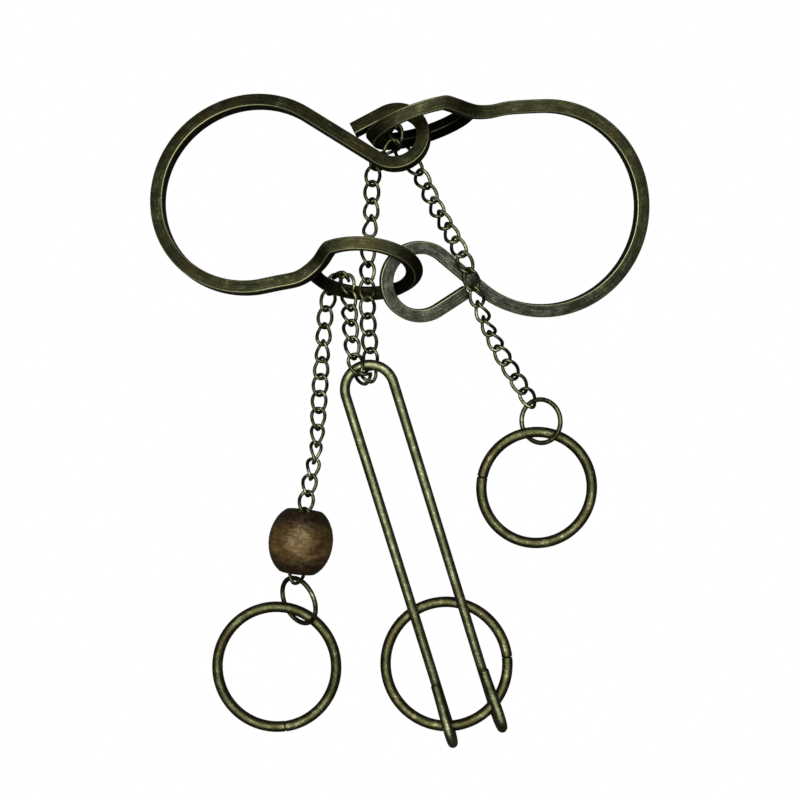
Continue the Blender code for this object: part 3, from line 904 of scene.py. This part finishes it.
# %% Right strand: over the right frame's lower bar and down to its ring
run = [
    top[-1],
    V(6.0, 65.2, 4.0),
    V(10.7, 54.5, 8.0),
    V(14.5, 47.2, 12.1),
    V(19.0, 37.4, 14.8),
    V(22.8, 26.0, 12.0),
]
run += [V(28.3, 15.0, 6.4), V(38.9, -1.8, 3.0)]
rolls = {
    3: 12.0,
    4: 27.0,
    5: 36.0,
    6: 28.0,
    7: 14.0,
    9: 12.0,
    10: 32.0,
    11: 45.0,
    12: 50.0,
    13: 32.0,
    14: 14.0,
    16: -10.0,
    17: -19.0,
}
strand("chain_r", run, 17, UP, rolls)

# %% [markdown]
# ## The shuttle
#
# A long U of drawn wire. Each leg is bent back over itself at the end, which leaves a narrow eye
# for the ring to run through and a short cut end lying on the leg. Both legs come from one
# function, so they differ only in how far each eye leans.

# %% The shuttle
def leg_line(side, roll):
    """One leg's middle line, from the bend to the cut end. roll leans its eye about the leg."""
    up = OVER * math.cos(roll * DEG) + ACROSS * math.sin(roll * DEG)
    root = SHUTTLE_BEND + ACROSS * (side * SHUTTLE_BEND_R)
    turn, back = SHUTTLE_LEG - SHUTTLE_EYE_R, SHUTTLE_LEG - SHUTTLE_EYE_BACK
    top, touch = 2 * SHUTTLE_EYE_R, SHUTTLE_WIRE + 0.14
    points = [root + DOWN * (turn * i / 24) for i in range(24)]
    for i in range(25):
        a = (-90 + 180 * i / 24) * DEG
        points.append(
            root + DOWN * (
                turn + SHUTTLE_EYE_R * math.cos(a)
            ) + up * SHUTTLE_EYE_R * (1 + math.sin(a)),
        )
    for i in range(1, 20):
        t = i / 19
        points.append(
            root + DOWN * (turn + (back - turn) * t) + up * (
                top + (touch - top) * t * t * (3 - 2 * t)
            ),
        )
    return points


halves = [leg_line(side, roll) for side, roll in zip((-1, 1), SHUTTLE_EYE_ROLL)]
bend_line = []
for i in range(1, 40):
    a = (180 - 180 * i / 40) * DEG
    bend_line.append(SHUTTLE_BEND + (ACROSS * math.cos(a) - DOWN * math.sin(a)) * SHUTTLE_BEND_R)
line = halves[0][::-1] + bend_line + halves[1]
row = list(zip(line, carried_ups(line, len(line) // 2, OVER)))
# Painted shade: the wire is painted darker between each leg and its bent-back end, towards the cut
# end.
BACK = 26  # points from each cut end to the middle of its eye
rubbed = [-0.55 * max(0.0, 1.0 - min(i, len(row) - 1 - i) / BACK) for i in range(len(row))]
sizes = {"Thickness": SHUTTLE_WIRE * TRIM * MM, "Sides": 24}
carried_piece("shuttle", "wire", ROUND_WIRE, [row], False, sizes, WIRE_BRONZE, WIRE_RIM, rubbed)
print("shuttle wire length", round(sum((a - b).length for a, b in zip(line, line[1:]))), "mm")

# %% [markdown]
# ## Rings
#
# The large rings are wound on a mandrel and sawn apart, so the two cut ends of each nearly meet, a
# hair out of line. The two small jump rings are closed the same way, and their joint is too fine to
# see.

# %% Large rings and jump rings
RING_WIRE = 3.2
RING_GAP = 0.1  # narrower than the plain solid's 0.45
RING_STEP = 0.1  # one cut end is this far up, and the other as far down
RING_POINTS = 160
RING_SIDES = 28
RINGS = {
    "ring_left": {"at": V(-35.9, -77.8, 3.2), "r": (17.3, 17.8), "tilt": (4.2, 0.0), "cut": -82.0},
    "ring_shuttle": {
        "at": V(13.5, -76.6, 4.03), "r": (17.7, 17.7), "tilt": (-7.5, -1.4), "cut": 6.0
    },
    "ring_right": {"at": V(39.8, -25.55, 3.2), "r": (16.1, 16.3), "tilt": (4.2, 0.0), "cut": 169.0},
}
JUMP_WIRE = 1.4
JUMP_POINTS = 96
JUMP_SIDES = 20
JUMPS = {
    "jump_ring_left": {"at": V(-29.2, -57.9, 6.6), "r": 6.9, "tilt": (20.0, -42.0)},
    "jump_ring_right": {"at": V(40.87, -6.15, 4.68), "r": 6.3, "tilt": (2.0, -34.0)},
}


def ring_place(lie):
    """Where a ring lies, with its axis tilted off the vertical."""
    place = Matrix.Rotation(
        lie["tilt"][0] * DEG, 4, "X"
    ) @ Matrix.Rotation(lie["tilt"][1] * DEG, 4, "Y")
    place.translation = lie["at"]
    return place


sizes = {"Thickness": RING_WIRE * TRIM * MM, "Sides": RING_SIDES}
for name, lie in RINGS.items():
    place, gap, row = ring_place(lie), RING_GAP / lie["r"][0], []
    for i in range(RING_POINTS + 1):
        a = lie["cut"] * DEG + gap / 2 + (2 * math.pi - gap) * i / RING_POINTS
        step = RING_STEP * math.cos(math.pi * i / RING_POINTS) ** 9
        row.append((V(lie["r"][0] * math.cos(a), lie["r"][1] * math.sin(a), step), UP))
    carried_piece(
        name, "wire", ROUND_WIRE, [moved(row, place)], False, sizes, RING_BRONZE, WIRE_RIM
    )

sizes = {"Thickness": JUMP_WIRE * MM, "Sides": JUMP_SIDES}
for name, lie in JUMPS.items():
    turns = [2 * math.pi * i / JUMP_POINTS for i in range(JUMP_POINTS)]
    row = [(V(lie["r"] * math.cos(a), lie["r"] * math.sin(a), 0.0), UP) for a in turns]
    carried_piece(name, "wire", ROUND_WIRE, [moved(row, ring_place(lie))], True, sizes, LINK_BRONZE)
print("rings:", ", ".join([*RINGS, *JUMPS]))

# %% [markdown]
# ## The wooden bead
#
# A barrel turned from a close-grained wood such as beech, stained dark brown and lacquered. Turning
# leaves shallow rings about the bore, the stain gathers in the pores, and the lacquer breaks the
# light up. The barrel is made as a lathe makes it, a profile spun about the bore, and the rings and
# pores are moved into the surface itself, so they are there in the mesh as well.

# %% Stained wood
def stained_wood(name):
    """Reads lathe, the place on the bead with Y along the bore."""
    made, tree, shader = shader_tree(name)
    own = add(tree, "ShaderNodeAttribute", attribute_name="lathe").outputs["Vector"]
    # Rings of light and dark wood about 1.3 mm apart along the bore, broken up by the grain.
    squeezed = add(
        tree, "ShaderNodeVectorMath", {0: own}, {1: (230.0, 780.0, 230.0)}, operation="MULTIPLY"
    )
    rings = add(
        tree,
        "ShaderNodeTexNoise",
        {"Vector": squeezed.outputs[0]},
        {"Scale": 1.0, "Detail": 5.0, "Roughness": 0.6},
    )
    fine = add(tree, "ShaderNodeTexNoise", {"Vector": own}, {"Scale": 2600.0, "Detail": 3.0})
    both = add(
        tree,
        "ShaderNodeMix",
        {"A": rings.outputs["Fac"], "B": fine.outputs["Fac"]},
        {"Factor": 0.18},
    )
    wood = add(
        tree,
        "ShaderNodeValToRGB",
        {"Fac": both.outputs["Result"]},
        stops=[(0.34, "#261c0c"), (0.47, "#443419"), (0.6, "#5f4c2b"), (0.74, "#806c46")],
    ).outputs["Color"]
    # Painted shade: the colour is painted darker towards both mouths, which leaves a painted
    # highlight band round the belly.
    split = add(tree, "ShaderNodeSeparateXYZ", {0: own})
    away = add(tree, "ShaderNodeMath", {0: split.outputs["Y"]}, operation="ABSOLUTE")
    painted_shade_at_mouths = add(
        tree,
        "ShaderNodeMapRange",
        {"Value": away.outputs[0]},
        {"From Min": 0.0022, "From Max": 0.0072},
        interpolation_type="SMOOTHSTEP",
    )
    # The painted shade's colour, a near-black brown, mixed in towards the mouths.
    colour = add(
        tree,
        "ShaderNodeMix",
        {"Factor": painted_shade_at_mouths.outputs[0], "A": wood},
        {"B": linear("#1e1209")},
        data_type="RGBA",
    )
    tree.links.new(colour.outputs[2], shader.inputs["Base Color"])
    # The lacquer has chipped off in flakes about 1.6 mm across, so the gloss is broken up.
    chips = add(
        tree,
        "ShaderNodeTexNoise",
        {"Vector": own},
        {"Scale": 620.0, "Detail": 4.0, "Roughness": 0.7},
    )
    gloss = add(
        tree, "ShaderNodeValToRGB", {"Fac": chips.outputs["Fac"]}, stops=[(0.47, 0.24), (0.54, 0.6)]
    ).outputs["Color"]
    tree.links.new(gloss, shader.inputs["Roughness"])
    level = add(
        tree,
        "ShaderNodeMath",
        {0: both.outputs["Result"], 2: gloss},
        {1: 0.8},
        operation="MULTIPLY_ADD",
    )
    relief = add(
        tree, "ShaderNodeBump", {"Height": level.outputs[0]}, {"Strength": 0.7, "Distance": 0.00012}
    )
    tree.links.new(relief.outputs[0], shader.inputs["Normal"])
    shader.inputs["Specular Tint"].default_value = linear("#e6cca2")
    shader.inputs["Specular IOR Level"].default_value = 0.9
    return made


STAINED_WOOD = stained_wood("stained_turned_beech")

# %% [markdown]
# The lathe turns the bead about its bore, so the bore is the profile's axis. Marks are 0.05 mm deep
# and follow the turning. Pores are deeper and shorter, and only ever go inwards.

# %% The bead
TURNS = 180
MARK_DEPTH = 0.05
PORE_DEPTH = 0.16
SKIN_ROOM = 0.04  # the side is taken in by this much, to make room for the marks
MOUTH = 0.5  # width of the rounded edge of the bore


def bead_profile():
    """(radius, distance along the bore) from one mouth round the outside to the other."""
    half, bore, end_r = BEAD_LONG / 2, BEAD_BORE / 2, BEAD_FLAT / 2
    edge = math.asin(half / (BEAD_D / 2) * 0.93)
    low = math.cos(edge)
    profile = [(bore, -half + MOUTH), (bore + 0.15, -half + 0.15), (bore + MOUTH, -half + 0.02)]
    profile += [
        (bore + MOUTH + (end_r - 0.3 - bore - MOUTH) * i / 4, -half + 0.02)
        for i in range(1, 5)
    ]
    for i in range(73):
        a = -edge + 2 * edge * i / 72
        grow = (math.cos(a) - low) / (1 - low)
        profile.append(
            (
                end_r + (BEAD_D / 2 - 0.06 - end_r) * grow,
                (half - 0.02) * math.sin(a) / math.sin(edge),
            ),
        )
    profile += [(r, -y) for r, y in profile[:7]][::-1]
    profile += [(bore, half - MOUTH - (BEAD_LONG - 2 * MOUTH) * i / 12) for i in range(1, 12)]
    return profile


def turned_bead():
    """The profile spun about the bore, with turning marks and pores moved into its outer side."""
    place = Matrix((BEAD_AXIS.cross(UP), BEAD_AXIS, UP)).transposed().to_4x4()
    place.translation = BEAD_AT
    profile, work = bead_profile(), bmesh.new()
    own = work.verts.layers.float_vector.new("lathe")
    grid = []
    for i in range(TURNS):
        a, ring = 2 * math.pi * i / TURNS, []
        for r, y in profile:
            p = V(r * math.cos(a), y, r * math.sin(a))
            if r > BEAD_BORE / 2 + 0.6:
                mark = noise.noise(V(p.x * 0.35, p.y * 1.9, p.z * 0.35)) * MARK_DEPTH
                pore = min(
                    0.0, noise.noise(V(p.x * 0.9, p.y * 4.5, p.z * 0.9) + V(7, 3, 1)) + 0.32
                ) * PORE_DEPTH
                p += V(math.cos(a), 0.0, math.sin(a)) * (mark + pore - SKIN_ROOM)
            vert = work.verts.new(((place @ p) - FOOT) * MM)
            vert[own] = V(p.x, p.y, p.z) * MM
            ring.append(vert)
        grid.append(ring)
    n = len(profile)
    for i in range(TURNS):
        j = (i + 1) % TURNS
        for k in range(n):
            m = (k + 1) % n
            work.faces.new((grid[i][k], grid[i][m], grid[j][m], grid[j][k])).smooth = True
    bmesh.ops.recalc_face_normals(work, faces=work.faces)
    if work.calc_volume(signed=True) < 0:
        bmesh.ops.reverse_faces(work, faces=work.faces)
    mesh = bpy.data.meshes.new("bead_turned")
    work.to_mesh(mesh)
    work.free()
    mesh.set_sharp_from_angle(angle=55 * DEG)
    mesh.materials.append(STAINED_WOOD)
    piece = bpy.data.objects.new("bead_turned", mesh)
    bpy.context.scene.collection.objects.link(piece)
    return piece


bead = turned_bead()
settle(bead, "bead")
print("bead:", len(bead.data.polygons), "faces")

# %% [markdown]
# ## Table, light and camera
#
# The puzzle lies on seamless white, lit by one broad soft light from above, so faces that look up
# shine and faces that look sideways stay dark. The white sweep shows white to the camera and throws
# back only a little light, which is what keeps the sides of the bars dark.

# %% White sweep
def white_sweep():
    """White to the camera, dark grey to everything else."""
    made = bpy.data.materials.new("white_sweep")
    made.use_nodes = True
    tree = made.node_tree
    tree.nodes.clear()
    seen = add(tree, "ShaderNodeLightPath").outputs["Is Camera Ray"]
    glow = add(tree, "ShaderNodeEmission", (), {"Color": (1.0, 1.0, 1.0, 1.0), "Strength": 1.0})
    paper = add(tree, "ShaderNodeBsdfDiffuse", (), {"Color": (0.06, 0.06, 0.055, 1.0)})
    mixed = add(tree, "ShaderNodeMixShader", {0: seen, 1: paper.outputs[0], 2: glow.outputs[0]})
    add(tree, "ShaderNodeOutputMaterial", {"Surface": mixed.outputs[0]})
    return made


bpy.ops.mesh.primitive_plane_add(size=6.0, location=(0.0, 0.0, -0.0002))
table = bpy.context.active_object
table.name = "white_table"
table.data.materials.append(white_sweep())

world = bpy.data.worlds.new("studio")
bpy.context.scene.world = world
world.use_nodes = True
tree = world.node_tree
tree.nodes.clear()
seen = add(tree, "ShaderNodeLightPath").outputs["Is Camera Ray"]
white = add(tree, "ShaderNodeBackground", (), {"Color": (1.0, 1.0, 1.0, 1.0), "Strength": 1.0})
dim = add(tree, "ShaderNodeBackground", (), {"Color": (0.9, 0.95, 1.0, 1.0), "Strength": 0.04})
mixed = add(tree, "ShaderNodeMixShader", {0: seen, 1: dim.outputs[0], 2: white.outputs[0]})
add(tree, "ShaderNodeOutputWorld", {"Surface": mixed.outputs[0]})

# %% [markdown]
# The light is a little wider than it is high above the table, so it wraps round wires and leaves a
# broad highlight on them. The camera looks straight down from 362 mm.

# %% Softbox and camera
def softbox(name, place, aim, size, power):
    """A broad soft light. Places in metres, size (width, depth) in metres, power in watts."""
    data = bpy.data.lights.new(name, "AREA")
    data.shape, data.size, data.size_y = "RECTANGLE", size[0], size[1]
    data.energy = power
    lamp = bpy.data.objects.new(name, data)
    lamp.location = place
    lamp.rotation_euler = (Vector(aim) - Vector(place)).to_track_quat("-Z", "Y").to_euler()
    bpy.context.scene.collection.objects.link(lamp)


softbox("softbox_above", (-0.05, 0.05, 0.75), (0.0, 0.0, 0.0), (0.9, 0.9), 9.0)

VIEW_HEIGHT = 362.0  # millimetres above the table
VIEW_ANGLE = 36.0  # degrees
eye = bpy.data.cameras.new("camera")
eye.lens_unit = "FOV"
eye.angle = VIEW_ANGLE * DEG
eye.clip_start, eye.clip_end = 0.01, 20.0
camera = bpy.data.objects.new("camera", eye)
camera.location = (V(0.0, 0.0, VIEW_HEIGHT) - FOOT) * MM
bpy.context.scene.collection.objects.link(camera)
bpy.context.scene.camera = camera
bpy.context.scene.view_settings.view_transform = "Standard"

# %% [markdown]
# Last, the scene is brought up to date.

# %% The last line
bpy.context.view_layer.update()
